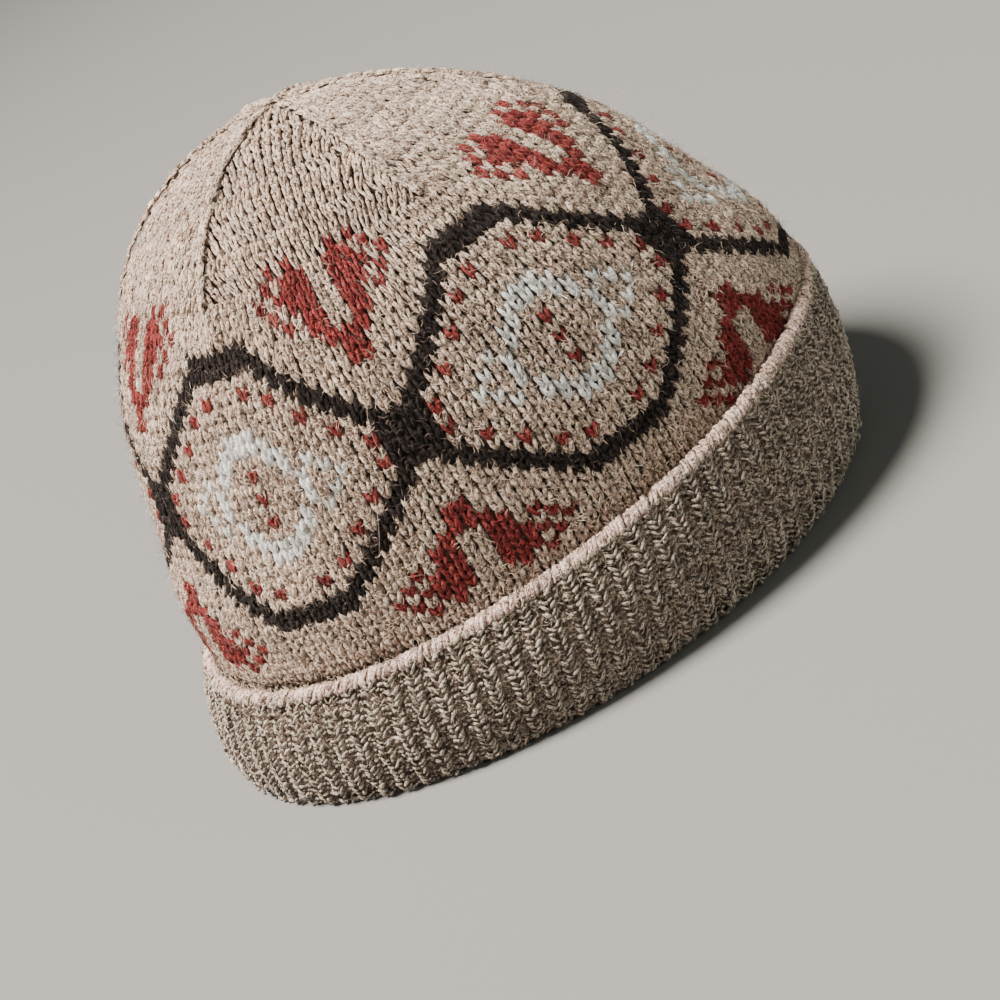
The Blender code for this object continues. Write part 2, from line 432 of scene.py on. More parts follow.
heather = {
    "twist": 0.28,  # turns that the fibres take along one strand
    "streaksRound": 9.0,
    "streaksAlong": 2.6,
    "patchScale": 55.0,
    "fleckScale": 1250.0,
    "tintScale": 420.0,
    "tintShare": 0.45,
    "paleCurlScale": 560.0,
    "darkCurlScale": 470.0,
    "curlHeight": 0.10,
}
woolColours = ("Main", "Dark fleck", "Light fleck", "Tinted fleck")
woolShares = ("Dark share", "Light share", "Patchiness", "Stitch spread")


def makeHeatherWool():
    # spun wool of mixed fibres: patches, single stitches and fine flecks each vary
    inputs = dict.fromkeys(woolColours, "NodeSocketColor")
    inputs.update(dict.fromkeys(woolShares, "NodeSocketFloat"))
    outputs = {"Color": "NodeSocketColor", "Fibre": "NodeSocketFloat"}
    tree, given, out = newGroup("heatherWool", inputs, outputs)

    def times(first, second):
        return mathNode(tree, "MULTIPLY", first, second)

    def plus(first, second):
        return mathNode(tree, "ADD", first, second)

    place = addNode(tree, "TexCoord").outputs["Object"]
    # fibres run along the yarn with a slight twist
    onYarn = addNode(tree, "Attribute", attribute_name="yarnPlace").outputs["Vector"]
    parts = addNode(tree, "SeparateXYZ", {"Vector": onYarn}).outputs
    twisted = plus(parts["X"], times(parts["Y"], heather["twist"]))
    streakPlace = addNode(tree, "CombineXYZ", {"X": times(twisted, heather["streaksRound"]),
                                               "Y": times(parts["Y"], heather["streaksAlong"]),
                                               "Z": parts["Z"]}).outputs["Vector"]
    streak = noise(tree, streakPlace, 1.0, 3, 0.6)
    patch = noise(tree, place, heather["patchScale"], 3, 0.6)
    fleck = noise(tree, place, heather["fleckScale"], 2, 0.65, 0.8)
    tinted = noise(tree, place, heather["tintScale"], 3, 0.6)
    paleCurl = curls(tree, place, heather["paleCurlScale"], 0.0)
    darkCurl = curls(tree, place, heather["darkCurlScale"], 4.7)
    stitch = addNode(tree, "Attribute", attribute_name="stitchTint").outputs["Fac"]
    fibre = plus(times(streak, 0.55), times(fleck, 0.45))
    darkPart = mathNode(tree, "MAXIMUM", ramp(tree, fibre, 0.480, 0.455), darkCurl)
    lightPart = mathNode(tree, "MAXIMUM", ramp(tree, fibre, 0.520, 0.545), paleCurl)
    tintPart = times(ramp(tree, tinted, 0.55, 0.72), heather["tintShare"])
    colour = mixColour(tree, times(darkPart, given["Dark share"]), given["Main"], given["Dark fleck"])
    colour = mixColour(tree, times(lightPart, given["Light share"]), colour, given["Light fleck"])
    colour = mixColour(tree, tintPart, colour, given["Tinted fleck"])
    # stitch and patch brightness: one multiplier round 1
    swing = times(mathNode(tree, "SUBTRACT", stitch, 0.5), given["Stitch spread"])
    patchSwing = times(mathNode(tree, "SUBTRACT", patch, 0.5), given["Patchiness"])
    level = plus(plus(swing, patchSwing), 1.0)
    grey = addNode(tree, "CombineColor", {"Red": level, "Green": level, "Blue": level}).outputs["Color"]
    tree.links.new(mixColour(tree, 1.0, colour, grey, "MULTIPLY"), out["Color"])
    height = plus(fibre, times(paleCurl, heather["curlHeight"]))
    height = mathNode(tree, "SUBTRACT", height, times(darkCurl, heather["curlHeight"]))
    tree.links.new(height, out["Fibre"])
    return tree


heatherWool = makeHeatherWool()


def woolMaterial(name, look):
    material = bpy.data.materials.new(name)
    material.use_nodes = True
    tree = material.node_tree
    tree.nodes.clear()
    given = {title: look[title] for title in woolShares}
    given.update({title: (*look[title], 1) for title in woolColours})
    wool = addNode(tree, "Group", given, node_tree=heatherWool)
    bump = addNode(tree, "Bump", {"Height": wool.outputs["Fibre"], "Strength": look["bump"],
                                  "Distance": look["bumpDepth"]})
    surface = addNode(tree, "BsdfPrincipled", {
        "Normal": bump.outputs["Normal"], "Base Color": (*look["Main"], 1),
        "Roughness": look["roughness"], "Specular IOR Level": look["shine"],
        "Sheen Weight": look["sheen"], "Sheen Roughness": look["sheenRoughness"],
        "Sheen Tint": (*look["sheenTint"], 1)})
    tree.links.new(wool.outputs["Color"], surface.inputs["Base Color"])
    addNode(tree, "OutputMaterial", {"Surface": surface.outputs["BSDF"]})
    return material


oatmeal = {
    "Main": (0.35, 0.237, 0.168), "Dark fleck": (0.040, 0.021, 0.014),
    "Light fleck": (0.86, 0.69, 0.56), "Tinted fleck": (0.42, 0.22, 0.18),
    "Dark share": 0.82, "Light share": 0.92, "Patchiness": 0.7, "Stitch spread": 0.5,
    "bump": 0.8, "bumpDepth": 0.0009, "roughness": 0.95, "shine": 0.15,
    "sheen": 0.12, "sheenRoughness": 0.45, "sheenTint": (1.0, 0.90, 0.82),
}
wools = {
    "oatmeal": oatmeal,
    "darkBrown": {
        **oatmeal, "Main": (0.010, 0.0070, 0.0065), "Dark fleck": (0.004, 0.003, 0.003),
        "Light fleck": (0.11, 0.088, 0.080), "Tinted fleck": (0.025, 0.014, 0.012),
        "Light share": 0.28, "sheen": 0.02},
    "brickRed": {
        **oatmeal, "Main": (0.185, 0.016, 0.019), "Dark fleck": (0.045, 0.004, 0.005),
        "Light fleck": (0.46, 0.12, 0.105), "Tinted fleck": (0.30, 0.05, 0.035),
        "Light share": 0.50, "sheen": 0.06},
    "mint": {
        **oatmeal, "Main": (0.74, 0.72, 0.67), "Dark fleck": (0.26, 0.23, 0.20),
        "Light fleck": (0.95, 0.95, 0.92), "Tinted fleck": (0.62, 0.68, 0.60), "Dark share": 0.5},
    # the oatmeal made greyer, with dimmer light flecks: painted shade over the cuff
    "cuffOatmealPaintedShade": {
        **oatmeal, "Main": (0.300, 0.246, 0.190), "Dark fleck": (0.038, 0.030, 0.022),
        "Light fleck": (0.66, 0.56, 0.46), "Tinted fleck": (0.30, 0.22, 0.20)},
    # a brighter oatmeal for the rolled edge: painted highlight where the top of the cuff catches the light
    "edgeOatmealPaintedHighlight": {
        **oatmeal, "Main": (0.50, 0.335, 0.272), "Light fleck": (0.86, 0.66, 0.565), "Dark share": 0.8},
    # a darkened oatmeal for the walls: painted shade in the gaps between the stitches
    "liningOatmealPaintedShade": {
        **oatmeal, "Main": (0.10, 0.071, 0.054), "Light fleck": (0.24, 0.18, 0.15),
        "Dark fleck": (0.02, 0.013, 0.01), "sheen": 0.02},
}
materials = {name: woolMaterial(name + "Wool", look) for name, look in wools.items()}
print("materials made")

# the chart: six linked six-sided figures, drawn stitch by stitch

chart = {
    "stitchesPerFigure": 25,
    "lowestRow": -17,
    "lastPatternRow": 15,
    "rowStart": 0.0586,  # the middle row, up the meridian from the crown's lower edge
    "rowRise": 0.00335,
    "rowStretch": 0.000016,
    "mint": {5: (0, 1), 4: (0, 1, 2), 3: (2, 3), 2: (3, 5), 1: (4, 6), 0: (4, 7)},
    "tulip": {7: (0,), 8: (0,), 9: (0, 1), 10: (1, 2), 11: (1, 2, 4), 12: (1, 2, 3, 5),
              13: (1, 2, 3, 4, 6), 14: (1, 2, 3, 5), 15: (2, 4)},
}


def chartColour(row, column):
    # column counts from the figure's middle, so 12 lies on the join with the next figure
    high, out = abs(row), abs(column)
    if 12 - out in chart["tulip"].get(high, ()):
        return "brickRed"
    if high == 11 and out <= 3 or high == 10 and out <= 4:
        return "darkBrown"
    if 3 <= high <= 9 and out in (13 - high, 14 - high) or high < 3 and out in (11, 12):
        return "darkBrown"
    if high == 8 and out == 2 or high in (1, 3, 5, 7) and out == 11 - high:
        return "brickRed"
    if out == 0 and high in (0, 2):
        return "brickRed"
    if out in chart["mint"].get(high, ()):
        return "mint"
    return "oatmeal"


def rowRun(row):
    return chart["rowStart"] + chart["rowRise"] * row + chart["rowStretch"] * row * row


def leftAbove(row):
    # how much of the run from the last pattern row to the tip lies above this row
    return (meridianRun[-1] - rowRun(row)) / (meridianRun[-1] - rowRun(chart["lastPatternRow"]))


# worn knitting doesn't lie level: rows drift up and down, and wales lean, as they go round
drift = {
    "rise": ((-4.30, 0.77, -1.10), (-0.75, -2.63, 0.37), (0.70, 0.24, -0.30)),
    "turn": ((0.0004, 0.0092, -0.0011), (0.0099, 0.0049, 0.0040)),
    "lowest": -1.15,  # the drift grows no further below this share of the pattern's rows
}


def driftBy(kind, around, reach):
    waves = (1, np.cos(2 * math.pi * around), np.sin(2 * math.pi * around))
    return sum(reach ** power * sum(term * wave for term, wave in zip(terms, waves))
               for power, terms in enumerate(drift[kind]))


def knitFace(around, row):
    # the crown's face by rows of stitches, with their drift
    reach = np.clip(row / chart["lastPatternRow"], drift["lowest"], 1)
    rise = driftBy("rise", around, reach) * mm
    turn = driftBy("turn", around, reach)
    return crownFace(around + turn, rowRun(row) + rise * np.clip(leftAbove(row), 0, 1))


# body stitches

knit = {
    "yarnWide": 0.00086,  # half the width of one leg at the widest of the hat
    "yarnDeep": 0.00080,
    "legShare": 0.206,  # the most that half a leg's width may be, in stitches
    "deepShare": 0.24,
    "foot": 0.082,  # how far from the wale's middle a leg starts, in stitches
    "lean": 0.305,  # and how far from it the leg ends
    "below": -0.28,  # where a leg starts and ends, in rows
    "above": 1.05,
    "ends": 0.40,  # thickness at both ends of a leg
    "tuck": 0.00075,  # how far the ends dive behind other stitches
    "ridgeWider": 1.3,
    "ridgeOut": 0.0012,
    "unevenTurn": 0.055,
    "unevenPlace": 0.028,
    "unevenWidth": 0.11,
    "unevenLift": 0.00018,
    "unevenFoot": 0.02,
    "wobble": 0.10,  # of the rows, slowly round the hat
    "stitchTint": 0.22,
    "legTint": 0.10,
    "clearance": 0.003,  # stitches that end lower behind the cuff than this are left out
    "topGap": 0.0030,  # run from the last row to the tip
    "stations": 5,
}
bodyParts = {  # colour, lowest and highest row of each piece
    "crownGroundLow": ("oatmeal", -99, -2),
    "crownGroundHigh": ("oatmeal", -1, 11),
    "crownTop": ("oatmeal", 12, 99),
    "crownDark": ("darkBrown", -99, 99),
    "crownRed": ("brickRed", -99, 99),
    "crownMint": ("mint", -99, 99),
}


def goreCount(row):
    # stitches left in one gore; two go at a time, on the line between gores
    if row <= chart["lastPatternRow"]:
        return chart["stitchesPerFigure"]
    count = chart["stitchesPerFigure"] * max(leftAbove(row), 0) ** 1.05
    return max(3, 2 * int(round((count - 1) / 2)) + 1)


def topRow():
    row = chart["lastPatternRow"]
    while rowRun(row + 1) < meridianRun[-1] - knit["topGap"]:
        row += 1
    return row


def walePlace(gore, step, row):
    # share round the hat of a wale that lies this many stitches from its gore's middle
    count = goreCount(row)
    middle = hat["firstRidge"] + (gore + 0.5) / hat["gores"]
    return middle + np.clip(step, -count / 2, count / 2) / (hat["gores"] * count)


def bodyStitches():
    # row, place, place of the stitch above, width, colour, and whether a decrease ridge runs there
    stitches = []
    for row in range(chart["lowestRow"], topRow() + 1):
        count = goreCount(row)
        half = list(np.arange(0.5, (count - 1) / 2, 1.0))
        for gore in range(hat["gores"]):
            for step in [-step for step in reversed(half)] + half + [count / 2]:
                onRidge = step == count / 2
                above = math.inf if onRidge else step  # clipped to the ridge of the next row
                column = int(round(chart["stitchesPerFigure"] / 2 - abs(step)))
                stitches.append((row, walePlace(gore, step, row), walePlace(gore, above, row + 1),
                                 1 / (hat["gores"] * count), chartColour(row, column),
                                 onRidge and row >= chart["lastPatternRow"]))
    return [np.array(values) for values in zip(*stitches)]


def legs(around, row, nextAround, widthShare, ridge, dice):
    # two legs a stitch: out from under the stitch below, swelling, then tucked behind the one above
    count = len(around)
    point, _, _, normal = frameAt(knitFace, around, row)
    nearTip = smoothStep(chart["lastPatternRow"] + 12, chart["lastPatternRow"] + 14, row)[:, None]
    normal = unit(mix(normal, np.array([[0.0, 0.0, 1.0]]), nearTip))
    left, right = [knitFace(around + side * widthShare / 2, row) for side in (-1, 1)]
    width = np.linalg.norm(right - left, axis=-1)
    ahead = knitFace(nextAround, row + 1) - point
    rise = np.linalg.norm(ahead, axis=-1)
    wale = unit(ahead)
    across = unit(np.cross(wale, normal))
    share = np.linspace(0, 1, knit["stations"])
    arch = np.sin(np.pi * mix(0.06, 0.98, share)) ** 0.7
    taper = mix(knit["ends"], 1, np.sin(np.pi * mix(0.08, 0.94, share)) ** 0.8)
    turnBoth = dice.normal(0, knit["unevenTurn"], count)
    shift = dice.normal(0, knit["unevenPlace"], (count, 2))
    groups = []
    for hand in (-1, 1):
        turn = turnBoth + dice.normal(0, knit["unevenTurn"] / 2, count)
        swell = 1 + dice.normal(0, knit["unevenWidth"], count)
        lift = dice.normal(0, knit["unevenLift"], count) + np.where(ridge, knit["ridgeOut"], 0)
        foot = knit["foot"] + dice.normal(0, knit["unevenFoot"], count)
        outward = hand * mix(foot[:, None], knit["lean"], smoothStep(0, 0.85, share)[None]) + shift[:, :1]
        outward = outward + turn[:, None] * (share[None] - 0.4)
        upward = mix(knit["below"], knit["above"], share)[None] + shift[:, 1:]
        deep = np.minimum(width * knit["deepShare"], knit["yarnDeep"]) * swell
        wide = np.minimum(width * knit["legShare"], knit["yarnWide"]) * swell
        wide = np.where(ridge, wide * knit["ridgeWider"], wide)
        inward = deep[:, None] * 1.05 + knit["tuck"] * (1 - arch)[None] - lift[:, None]
        path = laidPath(point, across, wale, normal, outward * width[:, None], upward * rise[:, None], inward)
        groups.append({"path": path, "normals": np.repeat(normal[:, None], len(share), 1),
                       "wide": wide[:, None] * taper[None], "deep": deep[:, None] * taper[None]})
    return groups


def makeBody():
    dice = np.random.default_rng(11)
    rows, places, nexts, widths, colours, ridge = bodyStitches()
    wobble = knit["wobble"] * wander(places, rows * 0.05, 5)
    upperEnd = knitFace(places, rows + 0.9)[:, 2]
    keep = upperEnd > innerTop(angleAt(places)) + knit["clearance"]
    tint = np.clip(0.5 + knit["stitchTint"] * dice.normal(size=len(rows)), 0, 1)
    both = legs(places, rows + wobble, nexts, widths, ridge, dice)
    made = []
    for name, (colour, lowest, highest) in bodyParts.items():
        chosen = keep & (rows >= lowest) & (rows <= highest) & (colours == colour)
        yarns = []
        for side in both:
            part = {key: value[chosen] for key, value in side.items()}
            part["tint"] = np.clip(tint[chosen] + knit["legTint"] * dice.normal(size=chosen.sum()), 0, 1)
            yarns.append(part)
        made.append(yarnPiece(name, yarns, materials[colour], sides=4, openBack=True))
    return made


gathered = {
    "yarns": 16,
    "row": 60.0,  # past the last row, where all of them meet
    "reach": (0.0078, 0.0004),  # of a yarn's two ends from the middle
    "swirl": 0.5,
    "yarnWide": 0.00095,
    "yarnDeep": 0.00085,
    "taper": (0.5, 1.0, 1.0, 0.9, 0.7, 0.45),
}


def gatheredTip():
    # the last stitches drawn together, each yarn dipping into the middle
    dice = np.random.default_rng(12)
    count, stations = gathered["yarns"], len(gathered["taper"])
    place = (np.arange(count) + dice.normal(0, 0.12, count)) / count
    share = np.linspace(0, 1, stations)
    middle = knitFace(np.zeros(1), np.array([gathered["row"]]))[0]
    angle = 2 * math.pi * place[:, None] + gathered["swirl"] * share[None]
    reach = mix(*gathered["reach"], share)[None] * (1 + 0.06 * dice.normal(size=(count, 1)))
    fall = 0.0012 + 4.2 * reach ** 2 + 0.0016 * smoothStep(0.70, 1, share)[None]
    path = np.stack([middle[0] + np.cos(angle) * reach, middle[1] + np.sin(angle) * reach,
                     middle[2] - fall], axis=-1)
    taper = np.array(gathered["taper"])[None] * (1 + 0.1 * dice.normal(size=(count, 1)))
    yarns = {"path": path, "normals": np.broadcast_to([0.0, 0.0, 1.0], path.shape),
             "wide": gathered["yarnWide"] * taper, "deep": gathered["yarnDeep"] * taper,
             "tint": dice.uniform(0.3, 0.8, count)}
    return yarnPiece("crownTip", [yarns], materials["oatmeal"], sides=6)


bodyPieces = makeBody() + [gatheredTip()]

# cuff: rib columns, the hollows between them, the rolled edge

cuff = {
    "ribs": 90,
    "girth": 0.6150,  # round the ribs, which gives a rib its width
    "strokePitch": 0.00168,  # two strands lie side by side in each leg, so strokes come twice a row
    "firstStroke": 0.0026,  # run from the top edge to the first stroke
    "insideRun": 0.0065,  # how far the ribs go on under the fold
    "strandWide": 0.00047,
    "strandDeep": 0.00050,
    "endTuck": 0.0006,  # how far a strand's ends dive
    "puff": 0.0009,  # the strands stand this far outside the plain face
    "fullPlace": 0.555,
    "fullSpread": 0.10,
    "fullBy": 0.0024,
    "unevenDown": 0.00026,
    "unevenPlace": 0.00032,
    "unevenSpread": 0.12,
    "unevenSlant": 0.34,
    "unevenLift": 0.00020,
    "unevenWidth": 0.24,
    "unevenTint": 0.22,
}
strokeKinds = {  # wide is a share of a rib; slant is the rise from the middle to the side; the hollows' tint, below the ribs', is painted shade between the ribs
    "cuffRibs": {"phase": 0.0, "wide": 0.66, "slant": 0.00165, "sink": 0.0, "tint": 0.52,
                 "seed": 21, "stations": 4},
    "cuffHollows": {"phase": 0.5, "wide": 0.38, "slant": -0.0005775, "sink": 0.0006, "tint": 0.40,
                    "seed": 22, "stations": 3},
}


def strokeGrid(phase, dice):
    # share round the hat, and run down from the top edge, of every stroke
    around, down = [], []
    for rib in range(cuff["ribs"]):
        share = (rib + phase) / cuff["ribs"]
        length = cuffTop(angleAt(share)) + cuff["insideRun"]
        steps = np.arange(cuff["firstStroke"], length, cuff["strokePitch"])
        down.append(steps + dice.uniform(-0.15, 0.15) * cuff["strokePitch"])
        around.append(np.full(len(steps), share))
    return np.concatenate(around), np.concatenate(down)


def strokes(name, kind):
    # slanted strands either side of a column's middle
    dice = np.random.default_rng(kind["seed"])
    around, down = strokeGrid(kind["phase"], dice)
    count, stations = len(around), kind["stations"]
    half = kind["wide"] * cuff["girth"] / cuff["ribs"] / 2
    share = np.linspace(0, 1, stations)
    ends = np.interp(share, (0, 0.35, 0.7, 1), (0.55, 0.0, 0.1, 1.0))
    taper = np.interp(share, (0, 0.35, 0.7, 1), (0.60, 1.0, 0.95, 0.45))
    yarns = []
    for hand in (-1, 1):
        low = down + dice.normal(0, cuff["unevenDown"], count)
        place = around + 0.0005 * wander(around, down, 9, 3) + dice.normal(0, cuff["unevenPlace"], count)
        point, across, wale, normal = frameAt(cuffFace, place, low)
        spread = 1 + dice.normal(0, cuff["unevenSpread"], count)
        slant = kind["slant"] * (1 + dice.normal(0, cuff["unevenSlant"], count))
        outward = hand * mix(0.05, 0.95, share)[None] * (half * spread)[:, None]
        upward = -(smoothStep(0, 1.1, share) - 0.4)[None] * slant[:, None]
        sink = kind["sink"] - fullness(place) + dice.normal(0, cuff["unevenLift"], count)
        inward = cuff["strandDeep"] + cuff["endTuck"] * ends[None] + sink[:, None]
        path = laidPath(point, across, wale, -normal, outward, upward, inward)
        swell = np.clip(1 + dice.normal(0, cuff["unevenWidth"], count), 0.5, 1.6)[:, None]
        yarns.append({"path": path, "normals": np.repeat(-normal[:, None], stations, 1),
                      "wide": cuff["strandWide"] * swell * taper[None],
                      "deep": cuff["strandDeep"] * swell * taper[None],
                      "tint": np.clip(kind["tint"] + cuff["unevenTint"] * dice.normal(size=count), 0, 1)})
    return yarnPiece(name, yarns, materials["cuffOatmealPaintedShade"], sides=4)


edge = {
    "strokes": 640,
    "lean": 1.8,  # strokes that one stroke leans across
    "radius": 0.0016,  # of the roll
    "down": 0.0021,  # run from the top of the plain face to the roll's middle
    "turns": (-0.36, 1.05),  # half turns round the roll at which a stroke starts and ends
    "wide": 0.00072,
    "deep": 0.00062,
    "taper": (0.55, 0.95, 1.0, 1.0, 0.9, 0.6),
}


def rolledEdge():
    # the cast-on edge: short slanted strands rolled over the top of the outer layer
    dice = np.random.default_rng(23)
    count = edge["strokes"]
    place = (np.arange(count) + dice.normal(0, 0.45, count)) / count
    share = np.linspace(0, 1, len(edge["taper"]))
    turn = mix(*edge["turns"], share)[None] * math.pi + dice.normal(0, 0.22, count)[:, None]
    lean = edge["lean"] * dice.normal(1, 0.6, (count, 1)) / count
    around = place[:, None] + (share - 0.5)[None] * lean
    radius = edge["radius"] + dice.normal(0, 0.00018, count)[:, None]
    outer = cuffFace(around, edge["down"])
    rising = unit(outer - cuffFace(around, edge["down"] + frameStep["run"]))
    outward = ovalOutward(angleAt(around))
    centre = outer - outward * (edge["radius"] + cuff["strandDeep"] - fullness(around)[..., None])
    direction = outward * np.cos(turn)[..., None] + rising * np.sin(turn)[..., None]
    size = (1 + dice.normal(0, 0.14, count))[:, None] * np.array(edge["taper"])[None]
    yarns = {"path": centre + direction * radius[..., None], "normals": direction,
             "wide": edge["wide"] * size, "deep": edge["deep"] * size,
             "tint": np.clip(0.55 + 0.26 * dice.normal(size=count), 0, 1)}
    return yarnPiece("cuffEdge", [yarns], materials["edgeOatmealPaintedHighlight"])


cuffPieces = [strokes(name, kind) for name, kind in strokeKinds.items()] + [rolledEdge()]

# the walls behind the stitches, dark with painted shade there, which also close the hat's inside

wall = {
    "under": 0.5,  # tint behind the stitches, which keeps the painted shade dark there
    "inside": 4.6,  # and where the wall shows inside the hat
    "crownSteps": 140,
    "crownRows": 36,
    "crownDepth": 0.0021,  # behind the plain face
    "crownStart": 0.0005,
    "tuck": 0.0018,  # the lower edge reaches down behind the cuff's inner layer
    "cuffSteps": 360,
    "cuffDepth": 0.0020,
    "foldDepth": 0.0006,
    "ripple": 0.00045,  # of the ribs
    "skin": 0.0004,
    "insideRows": slice(22, 34),  # the end of the fold and the face inside the hat
}


def wallPiece(name, rows, tints):
    # rows of points round the hat, the last joined to the first; one tint a row
    count, around = len(rows), len(rows[0])
    row, step = np.meshgrid(np.arange(count), np.arange(around), indexing="ij")
    after, above = (step + 1) % around, (row + 1) % count
    quads = np.stack([row * around + step, row * around + after, above * around + after,
                      above * around + step], axis=-1).reshape(-1, 4)
    return makePiece(name, np.concatenate(rows), [quads], materials["liningOatmealPaintedShade"],
                     {"stitchTint": np.repeat(tints, around)})


def crownWall():
    steps = np.arange(wall["crownSteps"]) / wall["crownSteps"]
    lowest = lowerEdge(angleAt(steps)) - meridianBase + wall["crownStart"]
    shares = (np.linspace(0, 1, wall["crownRows"]) ** 0.9)[:-1]
    frames = [frameAt(crownFace, steps, mix(lowest, meridianRun[-1], share)) for share in shares]
    tip = crownFace(steps, np.full(len(steps), meridianRun[-1])).mean(axis=0)
    layers = []
    for depth in (wall["crownDepth"], hat["bodyWall"]):
        rows = [point - normal * depth for point, _, _, normal in frames]
        rows.insert(0, rows[0] - [0, 0, wall["tuck"]])
        rows.append(tip - [0, 0, depth] + (rows[-1] - rows[-1].mean(0)) * 0.05)
        layers.append(rows)
    tints = np.repeat([wall["under"], wall["inside"]], len(layers[0]))
    return wallPiece("crownLining", layers[0] + layers[1][::-1], tints)


def layerPoint(angle, up, inset, z):
    # the inner layer of the cuff
    gap = hat["turn"] - hat["ribWall"]
    halfLength = mix(hat["foldLength"] / 2 - gap, hat["bodyLength"] / 2, up) - inset
    halfWidth = mix(hat["foldWidth"] / 2 - gap, hat["bodyWidth"] / 2, up) - inset
    middle = hat["cuffShiftForward"] * hat["innerShare"] * up - hat["foldSetBack"]
    return ovalPoint(middle, halfLength, halfWidth, angle, z)


def cuffWall():
    around = np.arange(wall["cuffSteps"]) / wall["cuffSteps"]
    angle = angleAt(around)
    top, layerTop = cuffTop(angle), innerTop(angle)
    ripple = wall["ripple"] * np.cos(2 * math.pi * around * cuff["ribs"])
    rows = []
    for share in np.linspace(0.04, 1, 16):  # down the outer face, under the stitches
        point, _, _, normal = frameAt(cuffFace, around, share * (top - hat["foldRadius"]))
        rows.append(point + normal * (wall["cuffDepth"] - ripple - fullness(around) + cuff["puff"])[:, None])
    for share in np.linspace(0.15, 1, 8):  # round the fold
        point, _, _, normal = frameAt(cuffFace, around, top - hat["foldRadius"] + share * foldRun)
        full = (fullness(around) - cuff["puff"]) * (1 - share)
        depth = mix(wall["cuffDepth"], wall["foldDepth"], share)
        rows.append(point + normal * (depth - ripple - full)[:, None])
    for up in np.linspace(0.16, 1, 10):  # up the inside
        rows.append(layerPoint(angle, up, hat["ribWall"] - wall["skin"] + ripple, up * layerTop))
    for up, inset in ((1.0, 0.0006), (0.8, 0.0003), (0.45, 0.0003), (0.22, 0.0006)):
        rows.append(layerPoint(angle, up, inset, np.maximum(up * layerTop, 0.0064)))  # down between layers
    for share in (0.80, 0.5, 0.2, 0.04):  # back up behind the outer layer
        point, _, _, normal = frameAt(cuffFace, around, share * top)
        rows.append(point + normal * (hat["ribWall"] - wall["skin"]))
    tints = np.full(len(rows), wall["under"])
    tints[wall["insideRows"]] = wall["inside"]
    return wallPiece("cuffLining", rows, tints)


wallPieces = [crownWall(), cuffWall()]

# loose fibres

felt = {"length": (0.0010, 0.0036), "halfWide": 0.000070}  # short ones lying on the stitches
loose = {"length": (0.0018, 0.0056), "halfWide": 0.000044}  # finer ones that stand off the outline
halo = {
    "crown": [
        {**felt, "count": 56000, "lifted": 0.36},
        {**loose, "count": 9000, "lifted": 1.6},
    ],
    "cuff": [  # reach is a share of the cuff's height, down from its top; the tone darkens fibres over the cuff as painted shade and lightens those along its top edge as painted highlight
        {**felt, "count": 51000, "lifted": 0.42, "reach": 1.12, "paintedLightTone": 0.80},
        {**felt, "count": 6500, "lifted": 0.8, "reach": 0.09, "paintedLightTone": 1.20},
        {**loose, "count": 6000, "lifted": 1.6, "reach": 1.05, "paintedLightTone": 0.85},
    ],
}
stray = {  # long single hairs
    "count": 44,
    "stations": 12,
    "sides": 3,
    "length": (0.007, 0.024),
    "halfWide": 0.000045,
    "paleShare": 0.6,
}
hairColours = {
    "oatmeal": (0.66, 0.51, 0.395), "darkBrown": (0.022, 0.016, 0.014),
    "brickRed": (0.24, 0.030, 0.030), "mint": (0.85, 0.85, 0.80),
}


def plainMaterial(name, roughness, shine):
    material = bpy.data.materials.new(name)
    material.use_nodes = True
    inputs = material.node_tree.nodes["Principled BSDF"].inputs
    inputs["Roughness"].default_value = roughness
    inputs["Specular IOR Level"].default_value = shine
    return material, material.node_tree, inputs["Base Color"]


def hairMaterial():
    material, tree, baseColour = plainMaterial("looseFibres", 0.8, 0.2)
    colour = addNode(tree, "Attribute", attribute_name="hairColour").outputs["Color"]
    place = addNode(tree, "TexCoord").outputs["Object"]
    level = ramp(tree, noise(tree, place, 300), 0.2, 0.8)
    shade = mixColour(tree, level, (0.7, 0.68, 0.66, 1), (1.15, 1.12, 1.1, 1))
    tree.links.new(mixColour(tree, 1.0, colour, shade, "MULTIPLY"), baseColour)
    return material


fibreMaterial = hairMaterial()


def hairs(face, around, run, kind, dice):
    # each fibre is a bent sliver: root, middle and tip
    count = len(around)
    point, across, wale, normal = frameAt(face, around, run)
    normal = normal if face is knitFace else -normal
    turn = dice.uniform(0, 2 * math.pi, (count, 1))
    flat = across * np.cos(turn) + wale * np.sin(turn)
    length = mix(*kind["length"], dice.beta(1.3, 2.6, (count, 1)))
    first = unit(flat + normal * (kind["lifted"] * dice.beta(1.6, 2.2, (count, 1))))
    curl = np.cross(first, normal) * dice.normal(0, 1.3, (count, 1))
    curl = curl - normal * dice.uniform(0, 0.5, (count, 1))
    root = point - normal * dice.uniform(-0.0001, 0.0003, (count, 1))
    middle = root + first * length * 0.52
    end = middle + unit(first + curl * 0.7) * length * 0.48
    side = unit(np.cross(first, unit(normal + 0.5 * dice.normal(size=(count, 3)))))
    side = side * kind["halfWide"] * dice.uniform(0.6, 1.4, (count, 1))
    return np.stack([root - side * 0.6, root + side * 0.6, middle - side, middle + side, end], axis=1)


def crownColours(around, row):
    inFigure = apart(around * hat["gores"], hat["firstRidge"] * hat["gores"])
    column = np.clip(np.round(inFigure * chart["stitchesPerFigure"]), -12, 12).astype(int)
    level = np.floor(row).astype(int)
    return np.array([hairColours[chartColour(*stitch)] for stitch in zip(level, column)])


def brightness(dice, colours):
    # dark yarn holds a few pale fibres, pale yarn a few dark ones
    count = len(colours)
    dark = colours.mean(axis=1, keepdims=True) < 0.05
    odd = np.where(dice.uniform(0, 1, (count, 1)) < 0.28, np.where(dark, 4.5, 0.16), 1.0)
    spread = np.exp(dice.normal(0, 1, (count, 1)) * np.where(dark, 0.6, 0.35))
    return np.minimum(colours * odd * spread, 0.95)


def withAlpha(colours):
    return np.concatenate([colours, np.ones((len(colours), 1))], axis=1)


